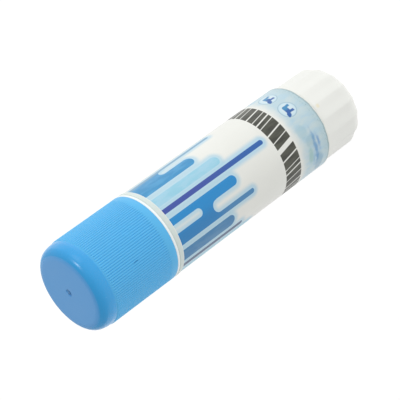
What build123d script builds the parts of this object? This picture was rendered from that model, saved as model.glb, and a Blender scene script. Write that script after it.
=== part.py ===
from build123d import *

import os
from math import cos, radians, sin

# Twist-up livestock marking crayon: a wax stick in a moulded case, closed by a push-on cap.
# It stands on its twist knob. The origin is the centre of the knob's end face and +Z runs
# up the case to the cap. Turning the knob turns its spindle, which drives a keyed carrier
# and the crayon along the bore. All sizes are in millimetres.

# ---- Driving sizes: case tube, collar and neck ----
tube_radius = 16.0            # printed tube
tube_wall = 2.1               # the bore runs straight from end to end
tube_length = 73.3            # from the tube's lower edge to the collar
tube_edge_round = 0.3
collar_step = 0.2             # the collar stands this far proud of the tube
collar_height = 3.0
collar_edge_round = 0.35
neck_wall = 0.95              # at the collar, where the cap grips
neck_draft = 0.15             # the neck is this much slimmer at its mouth
neck_length = 16.0
mouth_chamfer = 0.4
guide_height = 0.8            # two guide ribs down the bore stop the carrier turning
guide_width = 1.6
guide_count = 2

# ---- Driving sizes: knob and spindle, one moulding ----
knob_inset = 0.5              # the flutes' crests lie this far inside the tube
knob_height = 19.8
knob_corner = 6.4             # rounding at the end it stands on
flute_count = 16
flute_depth = 0.45
flute_crest_round = 0.5
knob_rest_angle = 8.9         # degrees from +X to a flute crest, with the crayon wound down
knob_floor = 2.2
hub_length = 6.5              # the part of the knob that plugs into the bore
hub_wall = 1.2
bead_height = 0.55            # snap bead round the hub
bead_width = 1.6
bead_offset = 3.4             # bead's middle above the knob's shoulder
spindle_radius = 3.6          # over the thread crests
spindle_top_gap = 6.5         # crayon left above the spindle's tip
spindle_tip_chamfer = 0.8
spindle_root_round = 1.5

# ---- Driving sizes: carrier and crayon ----
carrier_height = 7.0
carrier_wall = 0.8
carrier_floor = 1.6
nut_wall = 1.9                # boss round the spindle, inside the wax
nut_height = 9.0
crayon_below_mouth = 0.9      # a full crayon, wound right down
crayon_edge_round = 3.0

# ---- Driving sizes: cap ----
cap_headroom = 15.9           # from the mouth to the inside of the crown
cap_band_height = 1.9         # plain band at the rim, flush with the collar
cap_wall = 0.97               # between the ribs
cap_top_step = 0.05           # the smooth band above the ribs is this much slimmer
cap_top_height = 1.3          # smooth band, up to the rounded corner
cap_corner = 4.3
rib_height = 0.28
rib_count = 120
rib_root_share = 0.62         # share of the pitch that a rib takes at its root
rib_crest_share = 0.34
cap_crown = 1.4
cap_inner_corner = 3.0
cap_rim_chamfer = 0.25

# ---- Clearances ----
knob_gap = 0.3                # knob's shoulder to the tube's lower edge
hub_clearance = 0.05          # running fit of the hub in the bore
bead_clearance = 0.12
spindle_clearance = 0.05      # running fit of the carrier's nut on the spindle
carrier_clearance = 0.2
carrier_gap = 0.35            # carrier to the hub, wound right down
guide_clearance = 0.25
crayon_clearance = 0.3
wax_fit = 0.05                # wax in its cup and on the nut
spindle_hole_clearance = 0.4
cap_clearance = 0.05          # push fit on the neck
cap_seat_gap = 0.1            # cap's rim to the collar

# ---- Radii, from the bore outwards ----
bore_radius = tube_radius - tube_wall
neck_radius = bore_radius + neck_wall
collar_radius = tube_radius + collar_step
knob_crest_radius = tube_radius - knob_inset
cap_bore_radius = neck_radius + cap_clearance
rib_root_radius = cap_bore_radius + cap_wall
rib_crest_radius = rib_root_radius + rib_height
cap_top_radius = rib_root_radius - cap_top_step

# ---- Heights up the case ----
tube_base = knob_height + knob_gap
collar_base = tube_base + tube_length
neck_base = collar_base + collar_height
mouth = neck_base + neck_length
hub_top = knob_height + hub_length
carrier_base = hub_top + carrier_gap
crayon_base = carrier_base + carrier_floor
crayon_top = mouth - crayon_below_mouth
spindle_top = crayon_top - spindle_top_gap
cap_base = neck_base + cap_seat_gap
cap_ceiling = mouth + cap_headroom
cap_top = cap_ceiling + cap_crown
guide_base = hub_top + carrier_gap / 2

os.makedirs("parts", exist_ok=True)


# ---- Case: printed tube, collar and neck in one moulding ----
groove_radius = bore_radius + bead_height + bead_clearance
groove_half = bead_width / 2 + bead_clearance
groove_mid = knob_height + bead_offset

with BuildPart() as case_tube:
    with BuildSketch(Plane.XZ):
        with BuildLine():
            Polyline(
                (bore_radius, tube_base),
                (tube_radius, tube_base),
                (tube_radius, collar_base),
                (collar_radius, collar_base + collar_step),
                (collar_radius, neck_base),
                (neck_radius, neck_base),
                (neck_radius - neck_draft, mouth),
                (bore_radius, mouth),
                close=True,
            )
        make_face()
    revolve(axis=Axis.Z)
    round_edges = case_tube.edges().filter_by(GeomType.CIRCLE)
    collar_edge = round_edges.group_by(SortBy.RADIUS)[-1].sort_by(Axis.Z)[-1]
    fillet(collar_edge, collar_edge_round)
    foot_edge = case_tube.faces().sort_by(Axis.Z)[0].edges().sort_by(SortBy.RADIUS)[-1]
    fillet(foot_edge, tube_edge_round)
    mouth_edge = case_tube.faces().sort_by(Axis.Z)[-1].edges().sort_by(SortBy.RADIUS)[-1]
    chamfer(mouth_edge, mouth_chamfer)
    # Snap groove for the knob's bead.
    with BuildSketch(Plane.XZ):
        with BuildLine():
            Polyline(
                (bore_radius - bead_height, groove_mid - groove_half),
                (bore_radius, groove_mid - groove_half),
                (groove_radius, groove_mid - groove_half + bead_height),
                (groove_radius, groove_mid + groove_half - bead_height),
                (bore_radius, groove_mid + groove_half),
                (bore_radius - bead_height, groove_mid + groove_half),
                close=True,
            )
        make_face()
    revolve(axis=Axis.Z, mode=Mode.SUBTRACT)
    # Guide ribs, rooted in the bore's wall.
    with BuildSketch(Plane.XY.offset(guide_base)):
        with PolarLocations(bore_radius - guide_height / 2, guide_count):
            Rectangle(guide_height, guide_width)
        with PolarLocations(bore_radius, guide_count):
            Rectangle(guide_height / 2, guide_width)
    extrude(amount=mouth - mouth_chamfer - guide_base)

case_tube.part.label = "case_tube"
export_step(case_tube.part, "parts/case_tube.step")


# ---- Knob: hollow fluted grip, snap hub and spindle in one moulding ----
hub_radius = bore_radius - hub_clearance
pocket_radius = hub_radius - hub_wall
flute_pitch = radians(360 / flute_count)


def flute_point(angle, radius):
    """A point on the knob's outline."""
    return (radius * cos(angle), radius * sin(angle))


with BuildPart() as twist_knob:
    with BuildSketch():
        with BuildLine():
            for flute in range(flute_count):
                start = flute * flute_pitch + radians(knob_rest_angle)
                ThreePointArc(
                    flute_point(start, knob_crest_radius),
                    flute_point(start + flute_pitch / 2, knob_crest_radius - flute_depth),
                    flute_point(start + flute_pitch, knob_crest_radius),
                )
        make_face()
    extrude(amount=knob_height)
    fillet(twist_knob.edges().filter_by(Axis.Z), flute_crest_round)
    # The rounded end, cut as a turned form so that the flutes fade out in it.
    with BuildSketch(Plane.XZ):
        with BuildLine():
            Polyline(
                (0, knob_height),
                (0, 0),
                (knob_crest_radius - knob_corner, 0),
            )
            RadiusArc(
                (knob_crest_radius - knob_corner, 0),
                (knob_crest_radius, knob_corner),
                -knob_corner,
            )
            Polyline(
                (knob_crest_radius, knob_corner),
                (knob_crest_radius, knob_height),
                (0, knob_height),
            )
        make_face()
    revolve(axis=Axis.Z, mode=Mode.INTERSECT)
    # Hub with its snap bead.
    with BuildSketch(Plane.XZ):
        with BuildLine():
            Polyline(
                (0, knob_height),
                (hub_radius, knob_height),
                (hub_radius, knob_height + bead_offset - bead_width / 2),
                (hub_radius + bead_height, knob_height + bead_offset - bead_width / 2 + bead_height),
                (hub_radius + bead_height, knob_height + bead_offset + bead_width / 2 - bead_height),
                (hub_radius, knob_height + bead_offset + bead_width / 2),
                (hub_radius, hub_top),
                (0, hub_top),
                close=True,
            )
        make_face()
    revolve(axis=Axis.Z)
    # Moulding pocket round the spindle.
    with BuildSketch(Plane.XY.offset(knob_floor)):
        Circle(pocket_radius)
    extrude(amount=hub_top - knob_floor, mode=Mode.SUBTRACT)
    with BuildSketch(Plane.XY.offset(knob_floor)):
        Circle(spindle_radius)
    extrude(amount=spindle_top - knob_floor)
    tip_edge = twist_knob.faces().sort_by(Axis.Z)[-1].edges()
    chamfer(tip_edge, spindle_tip_chamfer)
    root_edge = (
        twist_knob.edges()
        .filter_by(GeomType.CIRCLE)
        .filter_by(lambda edge: abs(edge.radius - spindle_radius) < 0.01)
        .sort_by(Axis.Z)[0]
    )
    fillet(root_edge, spindle_root_round)

twist_knob.part.label = "twist_knob"
export_step(twist_knob.part, "parts/twist_knob.step")


# ---- Carrier: the keyed cup that holds the wax and runs on the spindle's thread ----
carrier_radius = bore_radius - carrier_clearance
cup_radius = carrier_radius - carrier_wall
nut_bore = spindle_radius + spindle_clearance
nut_radius = nut_bore + nut_wall
guide_slot_radius = bore_radius - guide_height - guide_clearance
guide_slot_width = guide_width + 2 * guide_clearance

with BuildPart() as carrier_cup:
    with BuildSketch(Plane.XZ):
        with BuildLine():
            Polyline(
                (nut_bore, carrier_base),
                (carrier_radius, carrier_base),
                (carrier_radius, carrier_base + carrier_height),
                (cup_radius, carrier_base + carrier_height),
                (cup_radius, crayon_base),
                (nut_radius, crayon_base),
                (nut_radius, carrier_base + nut_height),
                (nut_bore, carrier_base + nut_height),
                close=True,
            )
        make_face()
    revolve(axis=Axis.Z)
    # Slots for the guide ribs.
    with BuildSketch(Plane.XY.offset(carrier_base)):
        with PolarLocations((guide_slot_radius + tube_radius) / 2, guide_count):
            Rectangle(tube_radius - guide_slot_radius, guide_slot_width)
    extrude(amount=carrier_height, mode=Mode.SUBTRACT)

carrier_cup.part.label = "carrier_cup"
export_step(carrier_cup.part, "parts/carrier_cup.step")


# ---- Crayon: the wax, cast in the carrier and grooved by the guide ribs ----
crayon_radius = bore_radius - crayon_clearance
crayon_foot_radius = cup_radius - wax_fit
nut_hole_radius = nut_radius + wax_fit
nut_hole_top = carrier_base + nut_height + wax_fit
spindle_hole_radius = spindle_radius + spindle_hole_clearance
spindle_hole_top = spindle_top + spindle_hole_clearance
cup_top = carrier_base + carrier_height

with BuildPart() as wax_crayon:
    with BuildSketch(Plane.XZ):
        with BuildLine():
            Polyline(
                (nut_hole_radius, crayon_base),
                (crayon_foot_radius, crayon_base),
                (crayon_foot_radius, cup_top),
                (crayon_radius, cup_top),
                (crayon_radius, crayon_top),
                (0, crayon_top),
                (0, spindle_hole_top),
                (spindle_hole_radius, spindle_hole_top),
                (spindle_hole_radius, nut_hole_top),
                (nut_hole_radius, nut_hole_top),
                close=True,
            )
        make_face()
    revolve(axis=Axis.Z)
    fillet(wax_crayon.faces().sort_by(Axis.Z)[-1].edges(), crayon_edge_round)
    with BuildSketch(Plane.XY.offset(crayon_base)):
        with PolarLocations((guide_slot_radius + tube_radius) / 2, guide_count):
            Rectangle(tube_radius - guide_slot_radius, guide_slot_width)
    extrude(amount=crayon_top - crayon_base, mode=Mode.SUBTRACT)

wax_crayon.part.label = "wax_crayon"
export_step(wax_crayon.part, "parts/wax_crayon.step")


# ---- Cap: push-on, with a ribbed grip ----
rib_base = cap_base + cap_band_height
rib_top = cap_top - cap_corner - cap_top_height
rib_pitch = radians(360 / rib_count)
rib_root_half = rib_root_radius * rib_pitch * rib_root_share / 2
rib_crest_half = rib_crest_radius * rib_pitch * rib_crest_share / 2

with BuildPart() as cap:
    with BuildSketch(Plane.XZ):
        with BuildLine():
            Polyline(
                (0, cap_base),
                (collar_radius, cap_base),
                (collar_radius, rib_base),
                (rib_root_radius, rib_base),
                (rib_root_radius, rib_top),
                (cap_top_radius, rib_top),
                (cap_top_radius, cap_top),
                (0, cap_top),
                close=True,
            )
        make_face()
    revolve(axis=Axis.Z)
    fillet(cap.faces().sort_by(Axis.Z)[-1].edges(), cap_corner)
    chamfer(cap.faces().sort_by(Axis.Z)[0].edges(), cap_rim_chamfer)
    # Grip ribs, each a low tapered bar rooted in the skirt.
    with BuildSketch(Plane.XY.offset(rib_base)):
        with PolarLocations(0, rib_count):
            Polygon(
                (cap_bore_radius, -rib_root_half),
                (rib_root_radius, -rib_root_half),
                (rib_crest_radius, -rib_crest_half),
                (rib_crest_radius, rib_crest_half),
                (rib_root_radius, rib_root_half),
                (cap_bore_radius, rib_root_half),
                align=None,
            )
    extrude(amount=rib_top - rib_base)
    # Inside of the cap.
    with BuildSketch(Plane.XZ):
        with BuildLine():
            Polyline(
                (0, cap_base),
                (cap_bore_radius, cap_base),
                (cap_bore_radius, cap_ceiling - cap_inner_corner),
            )
            RadiusArc(
                (cap_bore_radius, cap_ceiling - cap_inner_corner),
                (cap_bore_radius - cap_inner_corner, cap_ceiling),
                -cap_inner_corner,
            )
            Polyline(
                (cap_bore_radius - cap_inner_corner, cap_ceiling),
                (0, cap_ceiling),
                (0, cap_base),
            )
        make_face()
    revolve(axis=Axis.Z, mode=Mode.SUBTRACT)

cap.part.label = "cap"
export_step(cap.part, "parts/cap.step")
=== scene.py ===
from math import atan2, cos, hypot, pi, radians, sin

import bmesh
import bpy
from mathutils import Matrix, Vector


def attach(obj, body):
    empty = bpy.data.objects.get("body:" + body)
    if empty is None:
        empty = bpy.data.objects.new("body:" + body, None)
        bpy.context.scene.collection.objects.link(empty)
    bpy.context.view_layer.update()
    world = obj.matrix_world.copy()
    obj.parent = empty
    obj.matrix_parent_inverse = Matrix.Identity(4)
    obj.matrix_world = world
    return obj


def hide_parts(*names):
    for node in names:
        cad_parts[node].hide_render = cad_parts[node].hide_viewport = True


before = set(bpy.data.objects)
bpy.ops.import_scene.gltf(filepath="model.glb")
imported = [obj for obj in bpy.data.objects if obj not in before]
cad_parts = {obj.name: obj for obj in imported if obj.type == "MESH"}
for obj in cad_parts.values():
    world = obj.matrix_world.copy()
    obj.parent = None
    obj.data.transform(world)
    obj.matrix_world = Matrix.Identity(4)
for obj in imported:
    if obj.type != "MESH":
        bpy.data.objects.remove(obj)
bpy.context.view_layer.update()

# ---- Case: printed tube, collar and neck ----
# One white polypropylene moulding, screen-printed round the tube. The knob's hub snaps into
# the groove near its lower end, the cap pushes on its neck, and two guide ribs down the bore
# keep the carrier from turning.
mm = 0.001
tube_radius = 16.0
bore_radius = 13.9
tube_base = 20.1
collar_base = 93.4
collar_radius = 16.2
lip_groove_base = 95.12
lip_groove_top = 95.64
lip_groove_depth = 0.14
neck_base = 96.4
neck_radius = 14.85
mouth = 112.4
mouth_radius = 14.7
groove_radius = 14.57
groove_middle = 23.2
guide_base = 26.475
guide_top = 112.0
guide_radius = 13.1
guide_half_angle = radians(3.1)


def turned(corners, steps, last_shown):
    """A bmesh turned about the Z axis, in mm, with a map of angle against length of wall.

    A corner is (radius, height, rounding, segments), in order along the wall. The wall past
    the corner last_shown is out of sight and gets only the top of the map.
    """
    map_start = 0.004
    shown_share = 0.856
    hidden_share = 0.136
    shown_length = 0.0
    for start, end in zip(corners, corners[1:last_shown + 1]):
        shown_length += hypot(end[0] - start[0], end[1] - start[1])
    bm = bmesh.new()
    along = bm.verts.layers.float.new("along")
    points = [bm.verts.new((radius, 0, height)) for radius, height, rounding, segments in corners]
    for start, end in zip(points, points[1:]):
        bm.edges.new((start, end))
    for point, (radius, height, rounding, segments) in zip(points, corners):
        if rounding:
            bmesh.ops.bevel(
                bm, geom=[point], offset=rounding, segments=segments, profile=0.5,
                affect="VERTICES", material=-1,
            )
    here = points[0]
    edge = here.link_edges[0]
    while edge:
        ahead = edge.other_vert(here)
        ahead[along] = here[along] + edge.calc_length()
        here = ahead
        onward = [other for other in here.link_edges if other is not edge]
        edge = onward[0] if onward else None
    wall_length = here[along]
    bmesh.ops.spin(
        bm, geom=bm.verts[:] + bm.edges[:], cent=(0, 0, 0), axis=(0, 0, 1), dvec=(0, 0, 0),
        angle=2 * pi, steps=steps, use_merge=True, use_duplicate=False,
    )
    bake_map = bm.loops.layers.uv.new("OFBake")
    for face in bm.faces:
        middle = face.calc_center_median()
        middle_angle = atan2(middle.y, middle.x)
        for corner in face.loops:
            place = corner.vert.co
            turn = 0.0
            if hypot(place.x, place.y) > 0.001:
                turn = (atan2(place.y, place.x) - middle_angle + pi) % (2 * pi) - pi
            round_map = (middle_angle + turn + pi) / (2 * pi)
            length = corner.vert[along]
            up_map = map_start + shown_share * min(length / shown_length, 1.0)
            hidden = max(length - shown_length, 0.0) / (wall_length - shown_length)
            corner[bake_map].uv = (round_map, up_map + hidden_share * hidden)
    bmesh.ops.remove_doubles(bm, verts=bm.verts, dist=0.0005)
    bmesh.ops.recalc_face_normals(bm, faces=bm.faces)
    return bm


def finished(bm, name, material):
    """The bmesh, scaled from mm to metres, as a piece with smooth shading and its material."""
    bmesh.ops.scale(bm, vec=(mm, mm, mm), verts=bm.verts)
    mesh = bpy.data.meshes.new(name)
    bm.to_mesh(mesh)
    bm.free()
    mesh.materials.append(material)
    mesh.shade_smooth()
    mesh.set_sharp_from_angle(angle=radians(35))
    piece = bpy.data.objects.new(name, mesh)
    bpy.context.scene.collection.objects.link(piece)
    weighting = piece.modifiers.new("Even shading", "WEIGHTED_NORMAL")
    weighting.keep_sharp = True
    return piece


def shader_node(tree, kind, inputs=(), **settings):
    """A new shader node. Each of its inputs gets a number, a colour or another node's output."""
    node = tree.nodes.new("ShaderNode" + kind)
    for name, value in settings.items():
        setattr(node, name, value)
    for socket, value in dict(inputs).items():
        if isinstance(value, bpy.types.NodeSocket):
            tree.links.new(value, node.inputs[socket])
        else:
            node.inputs[socket].default_value = value
    return node


def calc(tree, operation, *values):
    """The result of a Math node."""
    return shader_node(tree, "Math", enumerate(values), operation=operation).outputs[0]


def ramp(tree, value, start, end, low=0.0, high=1.0):
    """A smooth step from low to high as value goes from start to end."""
    sockets = {
        "Value": value, "From Min": start, "From Max": end, "To Min": low, "To Max": high,
    }
    step = shader_node(tree, "MapRange", sockets, interpolation_type="SMOOTHSTEP")
    return step.outputs["Result"]


def layered(tree, amount, below, above):
    """One colour laid over another by an amount from 0 to 1."""
    return shader_node(tree, "Mix", {0: amount, 6: below, 7: above}, data_type="RGBA").outputs[2]


def tinted(tree, colour, tint):
    """A colour made lighter or darker by a tint round 1."""
    return shader_node(tree, "VectorMath", {0: colour, 3: tint}, operation="SCALE").outputs[0]


def effect_group(name, inputs, outputs):
    """A new node group with named sockets, the values it is given, and its output node."""
    tree = bpy.data.node_groups.new(name, "ShaderNodeTree")
    for socket_name, value in inputs.items():
        socket = tree.interface.new_socket(
            name=socket_name, in_out="INPUT", socket_type="NodeSocketFloat"
        )
        socket.default_value = value
    for socket_name, kind in outputs.items():
        tree.interface.new_socket(name=socket_name, in_out="OUTPUT", socket_type=kind)
    return tree, tree.nodes.new("NodeGroupInput").outputs, tree.nodes.new("NodeGroupOutput")


def paint(red, green, blue):
    """A colour from the usual screen values, each from 0 to 255."""
    darkest = 0.04
    shown = [max(part / 255, darkest) for part in (red, green, blue)]
    return [((part + 0.055) / 1.055) ** 2.4 for part in shown] + [1]


# Printed shapes give their distance to the edge in mm, negative inside.
block_group, at, out = effect_group(
    "printed_block",
    {
        "Across": 0, "Height": 0, "Centre": 0, "Half Width": 1, "Bottom": 0, "Top": 1,
        "Corner": 0.2, "Lean": 0,
    },
    {"Distance": "NodeSocketFloat"},
)
middle = calc(block_group, "MULTIPLY", calc(block_group, "ADD", at["Bottom"], at["Top"]), 0.5)
above = calc(block_group, "SUBTRACT", at["Height"], middle)
side = calc(block_group, "SUBTRACT", at["Across"], at["Centre"])
side = calc(block_group, "SUBTRACT", side, calc(block_group, "MULTIPLY", above, at["Lean"]))
side = calc(block_group, "SUBTRACT", calc(block_group, "ABSOLUTE", side), at["Half Width"])
side = calc(block_group, "ADD", side, at["Corner"])
rise = calc(block_group, "SUBTRACT", at["Top"], middle)
rise = calc(block_group, "SUBTRACT", calc(block_group, "ABSOLUTE", above), rise)
rise = calc(block_group, "ADD", rise, at["Corner"])
outside = shader_node(
    block_group, "CombineXYZ",
    {0: calc(block_group, "MAXIMUM", side, 0.0), 1: calc(block_group, "MAXIMUM", rise, 0.0)},
).outputs[0]
outside = shader_node(block_group, "VectorMath", {0: outside}, operation="LENGTH").outputs["Value"]
inside = calc(block_group, "MINIMUM", calc(block_group, "MAXIMUM", side, rise), 0.0)
edge = calc(block_group, "SUBTRACT", calc(block_group, "ADD", outside, inside), at["Corner"])
block_group.links.new(edge, out.inputs["Distance"])

oval_group, at, out = effect_group(
    "printed_oval",
    {"Across": 0, "Height": 0, "Centre": 0, "Middle": 0, "Half Width": 1, "Half Height": 1},
    {"Distance": "NodeSocketFloat"},
)
side = calc(oval_group, "SUBTRACT", at["Across"], at["Centre"])
side = calc(oval_group, "DIVIDE", side, at["Half Width"])
rise = calc(oval_group, "SUBTRACT", at["Height"], at["Middle"])
rise = calc(oval_group, "DIVIDE", rise, at["Half Height"])
spread = shader_node(oval_group, "CombineXYZ", {0: side, 1: rise}).outputs[0]
spread = shader_node(oval_group, "VectorMath", {0: spread}, operation="LENGTH").outputs["Value"]
size = calc(oval_group, "MINIMUM", at["Half Width"], at["Half Height"])
edge = calc(oval_group, "MULTIPLY", calc(oval_group, "SUBTRACT", spread, 1.0), size)
oval_group.links.new(edge, out.inputs["Distance"])

# Moulded plastic: slow mottling of the colour, fine grain, and hair scratches from handling.
moulding_group, at, out = effect_group(
    "moulded_plastic",
    {"Mottle": 0.04, "Grain": 0.1, "Scratches": 0.3, "Roughness": 0.4},
    {"Tint": "NodeSocketFloat", "Roughness": "NodeSocketFloat", "Normal": "NodeSocketVector"},
)
spot = shader_node(moulding_group, "TexCoord").outputs["Object"]
slow = shader_node(
    moulding_group, "TexNoise", {"Vector": spot, "Scale": 90, "Detail": 3, "Roughness": 0.55}
).outputs[0]
fine = shader_node(
    moulding_group, "TexNoise", {"Vector": spot, "Scale": 1800, "Detail": 2, "Roughness": 0.6}
).outputs[0]
stretched = shader_node(
    moulding_group, "Mapping",
    {"Vector": spot, "Rotation": (0.35, 0.2, 0.5), "Scale": (60, 2200, 300)},
).outputs[0]
hair = shader_node(
    moulding_group, "TexNoise", {"Vector": stretched, "Scale": 1, "Detail": 1}
).outputs[0]
scratch = ramp(moulding_group, hair, 0.70, 0.76)
scratch = calc(moulding_group, "MULTIPLY", scratch, at["Scratches"])
swing = calc(moulding_group, "SUBTRACT", slow, 0.5)
swing = calc(moulding_group, "MULTIPLY", swing, at["Mottle"])
tint = calc(moulding_group, "ADD", 1.0, swing)
moulding_group.links.new(tint, out.inputs["Tint"])
polish = calc(moulding_group, "MULTIPLY_ADD", slow, 0.12, at["Roughness"])
polish = calc(moulding_group, "MULTIPLY_ADD", scratch, 0.15, polish)
moulding_group.links.new(polish, out.inputs["Roughness"])
relief = calc(moulding_group, "MULTIPLY", fine, at["Grain"])
relief = calc(moulding_group, "SUBTRACT", relief, scratch)
bump = shader_node(
    moulding_group, "Bump", {"Height": relief, "Strength": 0.25, "Distance": 0.05 * mm}
).outputs[0]
moulding_group.links.new(bump, out.inputs["Normal"])


def plastic(name, colour, mottle, grain, scratches, roughness):
    """A moulded plastic material, with its node tree, its shader and its moulding group."""
    material = bpy.data.materials.new(name)
    material.use_nodes = True
    tree = material.node_tree
    shader = tree.nodes["Principled BSDF"]
    surface = tree.nodes.new("ShaderNodeGroup")
    surface.node_tree = moulding_group
    surface.inputs["Mottle"].default_value = mottle
    surface.inputs["Grain"].default_value = grain
    surface.inputs["Scratches"].default_value = scratches
    surface.inputs["Roughness"].default_value = roughness
    tree.links.new(surface.outputs["Roughness"], shader.inputs["Roughness"])
    tree.links.new(surface.outputs["Normal"], shader.inputs["Normal"])
    mottled = tinted(tree, colour[:3], surface.outputs["Tint"])
    tree.links.new(mottled, shader.inputs["Base Color"])
    return material, tree, shader, surface


case_white = paint(228, 229, 223)
case_material, ink, case_shader = plastic(
    "printed_case_white", case_white, mottle=0.05, grain=0.1, scratches=0.25, roughness=0.3
)[:3]
white = case_shader.inputs["Base Color"].links[0].from_socket
place = shader_node(ink, "TexCoord").outputs["Object"]
place = shader_node(ink, "SeparateXYZ", {0: place}).outputs
flat_place = shader_node(ink, "CombineXYZ", {0: place[0], 1: place[1]}).outputs[0]
from_axis = shader_node(ink, "VectorMath", {0: flat_place}, operation="LENGTH").outputs["Value"]
from_axis = calc(ink, "DIVIDE", from_axis, mm)
height = calc(ink, "DIVIDE", place[2], mm)
# The print repeats on each half of the tube. Across is the distance round the tube in mm from
# the middle of each half, growing towards -X at the front.
angle = calc(ink, "MULTIPLY", place[1], -1.0)
angle = calc(ink, "ARCTAN2", calc(ink, "MULTIPLY", place[0], -1.0), angle)
angle = calc(ink, "WRAP", angle, pi / 2, -pi / 2)
across = calc(ink, "MULTIPLY", angle, tube_radius)


def printed(group, **sizes):
    """The distance to the edge of a printed block or oval. Sizes are its group's inputs."""
    shape = ink.nodes.new("ShaderNodeGroup")
    shape.node_tree = group
    ink.links.new(across, shape.inputs["Across"])
    ink.links.new(height, shape.inputs["Height"])
    for name, value in sizes.items():
        shape.inputs[name.replace("_", " ").title()].default_value = value
    return shape.outputs["Distance"]


def bar(centre, width, tip):
    """A bar that hangs from the collar to a round tip."""
    return printed(
        block_group, centre=centre, half_width=width / 2, bottom=tip, top=mouth, corner=width / 2
    )


def joined(first, *others):
    """Several printed shapes as one."""
    for other in others:
        first = calc(ink, "MINIMUM", first, other)
    return first


def without(shape, hole):
    """A printed shape with another cut out of it."""
    return calc(ink, "MAXIMUM", shape, calc(ink, "MULTIPLY", hole, -1.0))


def inked(distance, softness=0.07):
    """How much ink lies at a distance from a shape's edge, from 0 to 1."""
    return ramp(ink, distance, softness, -softness)


# Bars: slim streaks, wide bars in slate blue and light cyan, and two blue groups.
indigo_bar = bar(-3.02, 1.81, 45.7)
far_streak = bar(-19.41, 1.7, 56.0)
near_streak = bar(18.57, 1.76, 65.1)
slate_bar = bar(13.96, 4.53, 69.1)
cyan_bar = joined(bar(-7.07, 3.57, 63.3), bar(22.4, 3.3, 60.2))
slim_leg = bar(8.88, 1.87, 58.4)
front_group = joined(
    slim_leg,
    bar(1.73, 3.63, 63.1),
    printed(block_group, centre=4.86, half_width=4.94, bottom=74.0, top=mouth, corner=0.2),
)
front_group = without(
    front_group,
    printed(block_group, centre=5.84, half_width=2.18, bottom=40.0, top=76.5, corner=2.18),
)
front_group = without(front_group, bar(3.88, 3.04, 81.0))
side_group = joined(
    bar(-13.24, 4.43, 69.3),
    printed(block_group, centre=-15.2, half_width=4.17, bottom=79.8, top=mouth, corner=0.2),
)
side_group = without(
    side_group,
    printed(block_group, centre=-16.96, half_width=1.52, bottom=40.0, top=81.4, corner=1.52),
)

# A pale glow round every bar, deeper where two bars stand close, with a lighter rim.
bars = (indigo_bar, far_streak, near_streak, slate_bar, cyan_bar, front_group, side_group)
left_white = 1.0
for shape in bars:
    left_white = calc(ink, "MULTIPLY", left_white, ramp(ink, shape, 0.0, 2.5, 0.22, 1.0))
colour = layered(ink, calc(ink, "SUBTRACT", 1.0, left_white), white, paint(156, 200, 221))
tip_glow = ramp(ink, joined(indigo_bar, slim_leg), 2.2, 0.3, 0.0, 0.14)
tip_glow = calc(ink, "MULTIPLY", tip_glow, ramp(ink, height, 66.0, 60.0))
colour = layered(ink, tip_glow, colour, paint(124, 188, 236))
rim = ramp(ink, joined(*bars), 0.8, 0.3, 0.0, 0.3)
colour = layered(ink, rim, colour, paint(196, 226, 236))

# The inks lie a little unevenly, lighter and darker in slow patches.
flat_print = shader_node(ink, "CombineXYZ", {0: across, 1: height}).outputs[0]
patches = calc(ink, "MULTIPLY", height, 0.3)
patches = shader_node(ink, "CombineXYZ", {0: across, 1: patches}).outputs[0]
patches = shader_node(ink, "TexNoise", {"Vector": patches, "Scale": 0.45, "Detail": 3}).outputs[0]


def uneven(lighter, darker):
    """An ink between two shades, in slow patches."""
    return layered(ink, ramp(ink, patches, 0.38, 0.62), lighter, darker)


colour = layered(ink, inked(cyan_bar), colour, uneven(paint(158, 204, 224), paint(144, 200, 220)))
colour = layered(ink, inked(slate_bar), colour, uneven(paint(72, 132, 176), paint(54, 124, 174)))
front_blue = layered(ink, ramp(ink, across, 7.2, 3.0), paint(24, 124, 186), paint(8, 134, 200))
lower_leg = calc(ink, "MULTIPLY", ramp(ink, across, 7.6, 8.2), ramp(ink, height, 77.0, 71.0))
front_blue = layered(ink, lower_leg, front_blue, paint(66, 130, 180))
side_blue = uneven(paint(60, 150, 200), paint(34, 136, 190))
colour = layered(ink, inked(front_group), colour, front_blue)
colour = layered(ink, inked(side_group), colour, side_blue)
indigo = layered(ink, ramp(ink, height, 80.0, 50.0), paint(52, 76, 160), paint(26, 90, 166))
colour = layered(ink, inked(indigo_bar), colour, indigo)
colour = layered(ink, inked(near_streak), colour, paint(70, 92, 128))
colour = layered(ink, inked(far_streak, 0.2), colour, paint(112, 158, 188))

# Pale band with its watery strokes and two round signs, over a ragged lower edge.
ripple = shader_node(
    ink, "TexNoise", {"Vector": flat_print, "Scale": 0.35, "Detail": 4}
).outputs[0]
edge_height = calc(ink, "MULTIPLY_ADD", ripple, 2.5, height)
band = ramp(ink, edge_height, 36.8, 32.0)
band_colour = ramp(ink, patches, 0.35, 0.65)
band_colour = layered(ink, band_colour, paint(178, 206, 219), paint(194, 212, 216))
near_end = ramp(ink, height, 25.0, 21.0, 0.0, 0.6)
band_colour = layered(ink, near_end, band_colour, paint(176, 200, 206))
colour = layered(ink, band, colour, band_colour)


def stroke(centre, middle, half_width, half_height, amount, shade):
    """The colour so far, with a soft watery brush stroke on it."""
    distance = printed(
        oval_group, centre=centre, middle=middle, half_width=half_width, half_height=half_height
    )
    distance = calc(ink, "MULTIPLY_ADD", calc(ink, "SUBTRACT", ripple, 0.5), 2.2, distance)
    return layered(ink, ramp(ink, distance, 0.5, -0.7, 0.0, amount), colour, shade)


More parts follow.
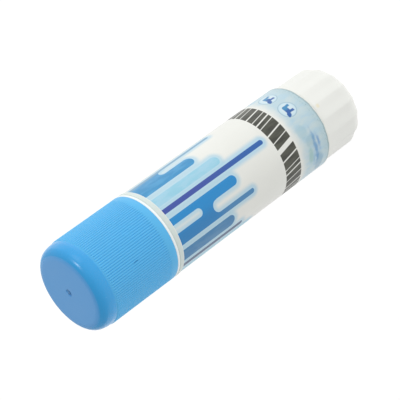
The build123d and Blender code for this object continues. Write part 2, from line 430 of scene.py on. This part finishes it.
colour = stroke(12.2, 29.9, 3.4, 1.3, 0.6, paint(142, 186, 180))
colour = stroke(17.5, 25.8, 4.6, 2.2, 0.6, paint(116, 162, 190))
colour = stroke(6.8, 28.6, 2.0, 2.2, 0.45, paint(146, 182, 194))
colour = stroke(10.6, 26.9, 5.6, 0.85, 0.8, paint(88, 146, 196))
colour = stroke(8.2, 25.3, 2.6, 0.5, 0.75, paint(84, 142, 200))
colour = stroke(14.5, 28.3, 2.4, 0.5, 0.6, paint(96, 158, 200))
colour = stroke(2.5, 30.5, 2.6, 2.4, 0.4, paint(150, 190, 204))


def sign(centre):
    """The colour so far, with a round sign that shows a plain four-legged animal."""
    middle = 28.6
    radius = 3.5
    disc = printed(
        oval_group, centre=centre, middle=middle, half_width=radius, half_height=radius
    )
    shade = layered(ink, inked(disc, 0.2), colour, paint(196, 220, 230))
    shade = layered(ink, ramp(ink, disc, -0.5, -1.6, 0.0, 0.6), shade, paint(214, 228, 232))
    ring = calc(ink, "ABSOLUTE", calc(ink, "ADD", disc, 0.2))
    shade = layered(ink, ramp(ink, ring, 0.3, 0.08, 0.0, 0.6), shade, paint(132, 166, 184))
    body = printed(
        block_group, centre=centre, half_width=1.75, bottom=middle - 0.6, top=middle + 1.35,
        corner=0.75,
    )
    head = printed(
        block_group, centre=centre + 2.0, half_width=0.95, bottom=middle + 0.3,
        top=middle + 2.0, corner=0.6, lean=0.4,
    )
    animal = joined(body, head)
    for step in (-1.2, 1.2):
        leg = printed(
            block_group, centre=centre + step, half_width=0.5, bottom=middle - 1.9,
            top=middle + 0.3, corner=0.15, lean=-0.08 * step,
        )
        animal = joined(animal, leg)
    ahead = calc(ink, "SUBTRACT", across, centre)
    fur = layered(ink, ramp(ink, ahead, -0.6, 0.6), paint(62, 138, 186), paint(36, 92, 164))
    return layered(ink, inked(animal, 0.16), shade, fur)


colour = sign(-7.0)
colour = sign(-16.1)

# A row of plain leaning blocks, in small groups, where such a stick carries its wording.
block_rows = (
    (2.4, 1.7, 1.8), (2.9, 2.4), (1.5, 2.95), (2.7,), (2.4, 2.75), (3.2, 1.5), (1.6, 2.3),
    (2.6, 2.1), (1.9, 2.3),
)
block_gap = 0.3
group_gap = 0.2
wide_gap = 1.5
blocks = None
row_left = 24.9
for widths in block_rows:
    for width in widths:
        block = printed(
            block_group, centre=row_left - width / 2, half_width=width / 2,
            bottom=35.4, top=43.0, corner=0.12, lean=0.2,
        )
        blocks = joined(blocks, block) if blocks else block
        row_left -= width + block_gap
    row_left -= wide_gap if len(widths) == 1 else group_gap
dark_ink = uneven(paint(52, 53, 44), paint(74, 75, 64))
colour = layered(ink, inked(blocks, 0.1), colour, dark_ink)

# The print stops short of the tube's end, with a dark ragged edge that has lifted in specks.
print_end = calc(ink, "MULTIPLY_ADD", ripple, -0.7, height)
dark_edge = ramp(ink, print_end, 21.1, 20.5, 0.0, 0.7)
colour = layered(ink, dark_edge, colour, paint(136, 162, 166))
specks = shader_node(ink, "TexNoise", {"Vector": flat_print, "Scale": 1.9, "Detail": 1}).outputs[0]
specks = ramp(ink, specks, 0.62, 0.68)
specks = calc(ink, "MULTIPLY", specks, ramp(ink, height, 24.0, 21.0, 0.0, 0.6))
colour = layered(ink, specks, colour, paint(92, 140, 152))
below_collar = ramp(ink, height, collar_base + 0.05, collar_base - 0.05)
printed_wall = ramp(ink, print_end, tube_base + 0.15, tube_base + 0.3)
printed_wall = calc(ink, "MULTIPLY", printed_wall, below_collar)
printed_wall = calc(ink, "MULTIPLY", printed_wall, ramp(ink, from_axis, 15.5, 15.7))
colour = layered(ink, printed_wall, white, colour)

# The collar is painted darker and a little cooler than the tube, as painted shade, and its lip
# beside the cap is painted lighter, as a painted highlight.
collar_band = ramp(ink, height, collar_base + 0.05, collar_base + 0.6)
collar_band = calc(ink, "MULTIPLY", collar_band, ramp(ink, from_axis, 15.4, 15.7))
lip_highlight_mask = ramp(ink, height, lip_groove_top - 0.24, lip_groove_top + 0.06)
collar_painted_shade_and_highlight = layered(ink, lip_highlight_mask, paint(210, 221, 217), paint(240, 246, 247))
colour = layered(ink, collar_band, colour, collar_painted_shade_and_highlight)
ink.links.new(colour, case_shader.inputs["Base Color"])

case = turned(
    [
        (bore_radius, tube_base, 0, 0),
        (tube_radius, tube_base, 0.3, 4),
        (tube_radius, collar_base, 0.08, 2),
        (collar_radius, collar_base + 0.2, 0.08, 2),
        (collar_radius, lip_groove_base, 0.04, 2),
        (collar_radius - lip_groove_depth, lip_groove_base + lip_groove_depth, 0.04, 2),
        (collar_radius - lip_groove_depth, lip_groove_top - lip_groove_depth, 0.04, 2),
        (collar_radius, lip_groove_top, 0.04, 2),
        (collar_radius, neck_base, 0.12, 3),
        (neck_radius, neck_base, 0.15, 3),
        (mouth_radius, mouth, 0.4, 4),
        (bore_radius, mouth, 0.12, 2),
        (bore_radius, guide_top + 0.05, 0, 0),
        (bore_radius, guide_top - 0.05, 0, 0),
        (bore_radius, guide_base + 0.05, 0, 0),
        (bore_radius, guide_base - 0.05, 0, 0),
        (bore_radius, groove_middle + 0.92, 0.1, 2),
        (groove_radius, groove_middle + 0.37, 0.15, 3),
        (groove_radius, groove_middle - 0.37, 0.15, 3),
        (bore_radius, groove_middle - 0.92, 0.1, 2),
        (bore_radius, tube_base, 0, 0),
    ],
    steps=240,
    last_shown=10,
)
# The two guide ribs stand in from the bore.
for vert in case.verts:
    side_angle = abs(atan2(vert.co.y, abs(vert.co.x)))
    in_bore = abs(hypot(vert.co.x, vert.co.y) - bore_radius) < 0.01
    if in_bore and guide_base < vert.co.z < guide_top and side_angle < guide_half_angle:
        vert.co.xy *= guide_radius / bore_radius
case = finished(case, "case_moulding", case_material)
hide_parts("case_tube")
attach(case, "case")

# ---- Knob: fluted grip, snap hub and spindle ----
# One white polypropylene moulding with sixteen shallow flutes. Its hub snaps into the case,
# and the spindle runs up inside the wax to wind the carrier along.
knob_height = 19.8
knob_radius = 15.5
knob_corner = 6.4
knob_floor = 2.2
flute_count = 16
flute_depth = 0.5
flute_columns = 20
flute_start = 10.5
shallower_above = 9.0
shallower_over = 11.0
crest_angle = radians(8.9)
hub_radius = 13.85
hub_top = 26.3
bead_radius = 14.4
pocket_radius = 12.65
spindle_radius = 3.6
spindle_top = 105.0

knob_material, knob_tree, knob_shader = plastic(
    "knob_white", paint(235, 236, 231), mottle=0.04, grain=0.15, scratches=0.3, roughness=0.38
)[:3]
# Handling has left a faint yellowish stain near the case.
stain_place = (1.6 * mm, -15.3 * mm, 17.9 * mm)
spot = shader_node(knob_tree, "TexCoord").outputs["Object"]
stain = shader_node(
    knob_tree, "VectorMath", {0: spot, 1: stain_place}, operation="DISTANCE"
).outputs["Value"]
stain = ramp(knob_tree, stain, 1.1 * mm, 0.2 * mm, 0.0, 0.55)
knob_colour = knob_shader.inputs["Base Color"].links[0].from_socket
knob_colour = layered(knob_tree, stain, knob_colour, paint(238, 224, 176))
knob_tree.links.new(knob_colour, knob_shader.inputs["Base Color"])

knob = turned(
    [
        (0, 0, 0, 0),
        (4.5, 0, 0, 0),
        (8.5, 0, 0, 0),
        (knob_radius, 0, knob_corner, 18),
        (knob_radius, 8.0, 0, 0),
        (knob_radius, 11.0, 0, 0),
        (knob_radius, 14.0, 0, 0),
        (knob_radius, 17.0, 0, 0),
        (knob_radius, knob_height, 0.25, 3),
        (hub_radius, knob_height, 0.1, 2),
        (hub_radius, 22.4, 0, 0),
        (bead_radius, 22.95, 0.15, 3),
        (bead_radius, 23.45, 0.15, 3),
        (hub_radius, 24.0, 0, 0),
        (hub_radius, hub_top, 0.3, 3),
        (pocket_radius, hub_top, 0.2, 3),
        (pocket_radius, knob_floor, 0.6, 4),
        (spindle_radius, knob_floor, 1.5, 6),
        (spindle_radius, spindle_top, 0.8, 4),
        (0, spindle_top, 0, 0),
    ],
    steps=flute_count * flute_columns,
    last_shown=9,
)


def eased(share):
    """A smooth step from 0 to 1."""
    share = min(max(share, 0.0), 1.0)
    return share * share * (3 - 2 * share)


# The flutes run out over the rounded end, and grow shallower towards the case.
flute_pitch = 2 * pi / flute_count
for vert in knob.verts:
    radius = hypot(vert.co.x, vert.co.y)
    if vert.co.z < knob_height + 0.01 and radius > flute_start:
        turn = ((atan2(vert.co.y, vert.co.x) - crest_angle) / flute_pitch) % 1.0
        dip = 0.6 * (1 - (2 * turn - 1) ** 2) + 0.4 * sin(pi * turn) ** 2
        depth = flute_depth * eased((radius - flute_start) / (knob_radius - flute_start))
        depth *= 1 - 0.5 * eased((vert.co.z - shallower_above) / shallower_over)
        vert.co.xy *= (radius - depth * dip) / radius
knob = finished(knob, "knob_moulding", knob_material)
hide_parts("twist_knob")
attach(knob, "knob")

# ---- Cap: ribbed push-on cap ----
# One blue polypropylene moulding, injected at the middle of its crown, where the gate's stub
# is left. It pushes on the case's neck down to the collar, and 120 fine ribs give the grip.
cap_base = 96.44
rib_base = 98.4
rib_top = 124.1
cap_top = 129.7
cap_ceiling = 128.3
cap_bore = 14.9
cap_wall_radius = 15.87
crown_radius = 12.7
band_radius = 15.88
gate_radius = 1.2
gate_depth = 0.25
stub_drop = 0.04
rib_crest = 16.15
rib_count = 120
rib_top_fade = 0.9
rib_base_fade = 1.5
wall_draft = 0.035
groove_depth = 0.26
groove_profile = (0.0, 0.03, 0.15, 0.6, 1.0, 0.6, 0.15, 0.03)
# Rows of corners down the ribs, closer at the nick and where the grooves run out.
rib_rows = (
    0, 0.3, 0.6, 0.9, 6, 10.9, 11.5, 11.9, 12.3, 12.7, 13.3, 19, 24.2, 24.6, 25, 25.4, 25.7,
)
nick_angle = radians(-106)
nick_height = 111.8
nick_radius = 16.0
nick_half_width = 0.3
nick_half_height = 1.0
nick_depth = 0.2

cap_material, cap_tree, cap_shader, cap_surface = plastic(
    "cap_blue", [0.082, 0.455, 0.815, 1], mottle=0.05, grain=0.2, scratches=0.3, roughness=0.42
)
cap = turned(
    [
        (0, cap_top - stub_drop, 0, 0),
        (0.42, cap_top - stub_drop, 0.06, 2),
        (0.55, cap_top - gate_depth, 0.04, 2),
        (gate_radius - 0.25, cap_top - gate_depth, 0.1, 2),
        (gate_radius, cap_top, 0.1, 2),
        (3.0, cap_top, 0, 0),
        (7.5, cap_top, 0, 0),
        (crown_radius, cap_top, 1.0, 6),
        (14.95, 128.65, 1.2, 6),
        (band_radius, 126.2, 1.2, 6),
        (band_radius, rib_top + 0.05, 0, 0),
    ]
    + [(cap_wall_radius, rib_top - drop, 0, 0) for drop in rib_rows]
    + [
        (collar_radius - 0.01, rib_base - 0.1, 0, 0),
        (collar_radius, cap_base, 0.12, 3),
        (cap_bore, cap_base, 0.25, 3),
        (cap_bore, cap_ceiling, 3.0, 8),
        (0, cap_ceiling, 0, 0),
    ],
    steps=rib_count * len(groove_profile),
    last_shown=29,
)
# The gate's broken stub is longer one way, and uneven. The ribs fade at both ends, and the nick
# is cut across them.
rib_pitch = 2 * pi / rib_count
for vert in cap.verts:
    radius = hypot(vert.co.x, vert.co.y)
    angle = atan2(vert.co.y, vert.co.x)
    if radius < gate_radius + 0.1 and vert.co.z > cap_ceiling + 0.5:
        vert.co.x *= 1.45 + 0.12 * cos(3 * angle)
        vert.co.y *= 0.85 + 0.15 * cos(5 * angle + 1)
    if abs(radius - cap_wall_radius) < 0.005 and rib_base - 0.01 < vert.co.z < rib_top + 0.01:
        below_top = eased((rib_top - vert.co.z) / rib_top_fade)
        column = round(angle / rib_pitch * len(groove_profile)) % len(groove_profile)
        new_radius = band_radius + (rib_crest - band_radius) * below_top
        new_radius += wall_draft * (rib_top - vert.co.z) / (rib_top - rib_base)
        run_out = below_top * eased((vert.co.z - rib_base) / rib_base_fade)
        new_radius -= groove_depth * groove_profile[column] * run_out
        beside_nick = (angle - nick_angle) * nick_radius / nick_half_width
        from_nick = hypot(beside_nick, (vert.co.z - nick_height) / nick_half_height)
        new_radius -= nick_depth * eased(1.6 - 1.6 * from_nick)
        vert.co.xy *= new_radius / radius

spot = shader_node(cap_tree, "TexCoord").outputs["Object"]
rough_edge = shader_node(
    cap_tree, "TexNoise", {"Vector": spot, "Scale": 900, "Detail": 2}
).outputs[0]


def ragged_dark_spot(below, centre, reach, amount, shade):
    """A colour with a ragged dark spot round a point, reaching so far along each axis."""
    away = shader_node(
        cap_tree, "VectorMath", {0: spot, 1: centre}, operation="SUBTRACT"
    ).outputs[0]
    away = shader_node(cap_tree, "VectorMath", {0: away, 1: reach}, operation="DIVIDE").outputs[0]
    away = shader_node(cap_tree, "VectorMath", {0: away}, operation="LENGTH").outputs["Value"]
    away = calc(cap_tree, "MULTIPLY_ADD", rough_edge, 1.2, away)
    return layered(cap_tree, ramp(cap_tree, away, 1.75, 1.3, 0.0, amount), below, shade)


# The shoulder is glossy, and its deeper blue is painted shade. The crown is duller, and its greyer
# blue is painted shade.
cap_height = shader_node(cap_tree, "SeparateXYZ", {0: spot}).outputs[2]
cap_height = calc(cap_tree, "DIVIDE", cap_height, mm)
cap_colour = cap_shader.inputs["Base Color"].links[0].from_socket
shoulder_painted_shade = tinted(cap_tree, [0.03, 0.355, 0.755], cap_surface.outputs["Tint"])
cap_colour = layered(cap_tree, ramp(cap_tree, cap_height, 123.4, 124.6), cap_colour, shoulder_painted_shade)
crown_painted_shade = tinted(cap_tree, [0.085, 0.355, 0.75], cap_surface.outputs["Tint"])
cap_colour = layered(cap_tree, ramp(cap_tree, cap_height, 129.1, 129.6), cap_colour, crown_painted_shade)
gloss = calc(
    cap_tree, "MULTIPLY", ramp(cap_tree, cap_height, 123.6, 124.4, 0.0, 0.24),
    ramp(cap_tree, cap_height, 129.6, 129.2),
)
gloss = calc(cap_tree, "SUBTRACT", cap_surface.outputs["Roughness"], gloss)
cap_tree.links.new(gloss, cap_shader.inputs["Roughness"])
# The colour is darker in ragged spots round the gate's stub and in the nick.
gate_place = (0.1 * mm, 0, cap_top * mm)
gate_reach = (1.4 * mm, 0.9 * mm, 1.0 * mm)
cap_colour = ragged_dark_spot(cap_colour, gate_place, gate_reach, 0.65, paint(50, 104, 156))
nick_place = (
    nick_radius * mm * cos(nick_angle), nick_radius * mm * sin(nick_angle), nick_height * mm,
)
nick_reach = (0.26 * mm, 0.26 * mm, 1.0 * mm)
cap_colour = ragged_dark_spot(cap_colour, nick_place, nick_reach, 0.7, paint(30, 100, 160))
cap_tree.links.new(cap_colour, cap_shader.inputs["Base Color"])
cap = finished(cap, "cap_moulding", cap_material)
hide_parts("cap")
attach(cap, "cap")

# ---- Wax crayon ----
# A stick of blue paraffin marking wax, cast in its carrier and grooved by the case's guide
# ribs. It rises out of the case as the knob turns.
wax_material = bpy.data.materials.new("marking_wax_blue")
wax_material.use_nodes = True
wax_tree = wax_material.node_tree
wax_shader = wax_tree.nodes["Principled BSDF"]
spot = shader_node(wax_tree, "TexCoord").outputs["Object"]
clouds = shader_node(wax_tree, "TexNoise", {"Vector": spot, "Scale": 160, "Detail": 4}).outputs[0]
wax_colour = ramp(wax_tree, clouds, 0.35, 0.7)
wax_colour = layered(wax_tree, wax_colour, paint(20, 78, 178), paint(36, 104, 200))
wax_tree.links.new(wax_colour, wax_shader.inputs["Base Color"])
lumps = shader_node(wax_tree, "TexNoise", {"Vector": spot, "Scale": 420, "Detail": 3}).outputs[0]
wax_bump = shader_node(
    wax_tree, "Bump", {"Height": lumps, "Strength": 0.35, "Distance": 0.1 * mm}
).outputs[0]
wax_tree.links.new(wax_bump, wax_shader.inputs["Normal"])
bloom = calc(wax_tree, "MULTIPLY_ADD", clouds, 0.2, 0.38)
wax_tree.links.new(bloom, wax_shader.inputs["Roughness"])
wax_shader.inputs["Subsurface Weight"].default_value = 0.15
wax_shader.inputs["Subsurface Scale"].default_value = 1.0 * mm
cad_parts["wax_crayon"].material_slots[0].material = wax_material

# ---- Carrier ----
# A natural polypropylene cup that holds the wax. Its nut runs on the knob's spindle, and its
# keyways slide on the case's guide ribs.
carrier_material = plastic(
    "carrier_natural", paint(224, 224, 214), mottle=0.05, grain=0.1, scratches=0.1, roughness=0.4
)[0]
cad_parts["carrier_cup"].material_slots[0].material = carrier_material

# ---- Studio ----
# A pale floor with a bright patch beside the object, a soft sky that is brighter on that side,
# three soft lights, and the camera.
floor_half_size = 4.0
floor_level = 0.86
patch_level = 1.34
patch_middle = (0.2, -0.05, 0)
patch_inside = 0.04
patch_outside = 0.22
floor_mesh = bpy.data.meshes.new("floor")
sheet = bmesh.new()
bmesh.ops.create_grid(sheet, x_segments=1, y_segments=1, size=floor_half_size)
sheet.to_mesh(floor_mesh)
sheet.free()
floor = bpy.data.objects.new("floor", floor_mesh)
bpy.context.scene.collection.objects.link(floor)
floor_material = bpy.data.materials.new("pale_floor")
floor_material.use_nodes = True
floor_tree = floor_material.node_tree
floor_shader = floor_tree.nodes["Principled BSDF"]
floor_shader.inputs["Base Color"].default_value = (0.25, 0.25, 0.25, 1)
floor_shader.inputs["Roughness"].default_value = 0.9
floor_shader.inputs["Specular IOR Level"].default_value = 0.1
floor_shader.inputs["Emission Color"].default_value = (1, 1, 1, 1)
spot = shader_node(floor_tree, "TexCoord").outputs["Object"]
from_patch = shader_node(
    floor_tree, "VectorMath", {0: spot, 1: patch_middle}, operation="DISTANCE"
).outputs["Value"]
floor_glow = ramp(floor_tree, from_patch, patch_outside, patch_inside, floor_level, patch_level)
floor_tree.links.new(floor_glow, floor_shader.inputs["Emission Strength"])
floor_mesh.materials.append(floor_material)

sky_level = 0.76
brighter_aside = 0.2 * Vector((0.82, -0.57, 0.0))
dimmer_above = Vector((0, 0, -0.3))
world = bpy.data.worlds.new("soft_studio")
bpy.context.scene.world = world
world.use_nodes = True
sky = world.node_tree
direction = shader_node(sky, "TexCoord").outputs["Generated"]
shading = shader_node(
    sky, "VectorMath", {0: direction, 1: brighter_aside + dimmer_above}, operation="DOT_PRODUCT"
).outputs["Value"]
sky_strength = calc(sky, "ADD", shading, sky_level)
sky.links.new(sky_strength, sky.nodes["Background"].inputs["Strength"])
sky.nodes["Background"].inputs["Color"].default_value = (1, 1, 1, 1)


def soft_light(name, towards, size, energy):
    """A square light about a metre away, in a direction from the middle of the case."""
    case_middle = Vector((0, 0, 0.07))
    light_distance = 1.1
    light = bpy.data.lights.new(name, "AREA")
    light.shape = "SQUARE"
    light.size = size
    light.energy = energy
    towards = Vector(towards).normalized()
    holder = bpy.data.objects.new(name, light)
    holder.location = case_middle + towards * light_distance
    holder.rotation_euler = towards.to_track_quat("Z", "Y").to_euler()
    bpy.context.scene.collection.objects.link(holder)


soft_light("side_softbox", (0.80, -0.56, 0.24), 0.5, 0.75)
soft_light("back_softbox", (0.05, 0.85, 0.53), 0.6, 1.0)
soft_light("shoulder_light", (0.51, -0.34, 0.79), 0.22, 1.7)

aim = Vector((-0.0007, 0, 0.06957))
sideways = 0.00122
elevation = radians(31.86)
distance = 0.57207
roll = radians(-126.17)
camera_data = bpy.data.cameras.new("camera")
camera_data.sensor_width = 36
camera_data.lens = 152.95
camera = bpy.data.objects.new("camera", camera_data)
eye = aim + distance * Vector((sideways, -cos(elevation), sin(elevation)))
level_view = (aim - eye).to_track_quat("-Z", "Y").to_matrix().to_4x4()
camera.matrix_world = Matrix.Translation(eye) @ level_view @ Matrix.Rotation(roll, 4, "Z")
bpy.context.scene.collection.objects.link(camera)
bpy.context.scene.camera = camera
bpy.context.scene.view_settings.view_transform = "Standard"
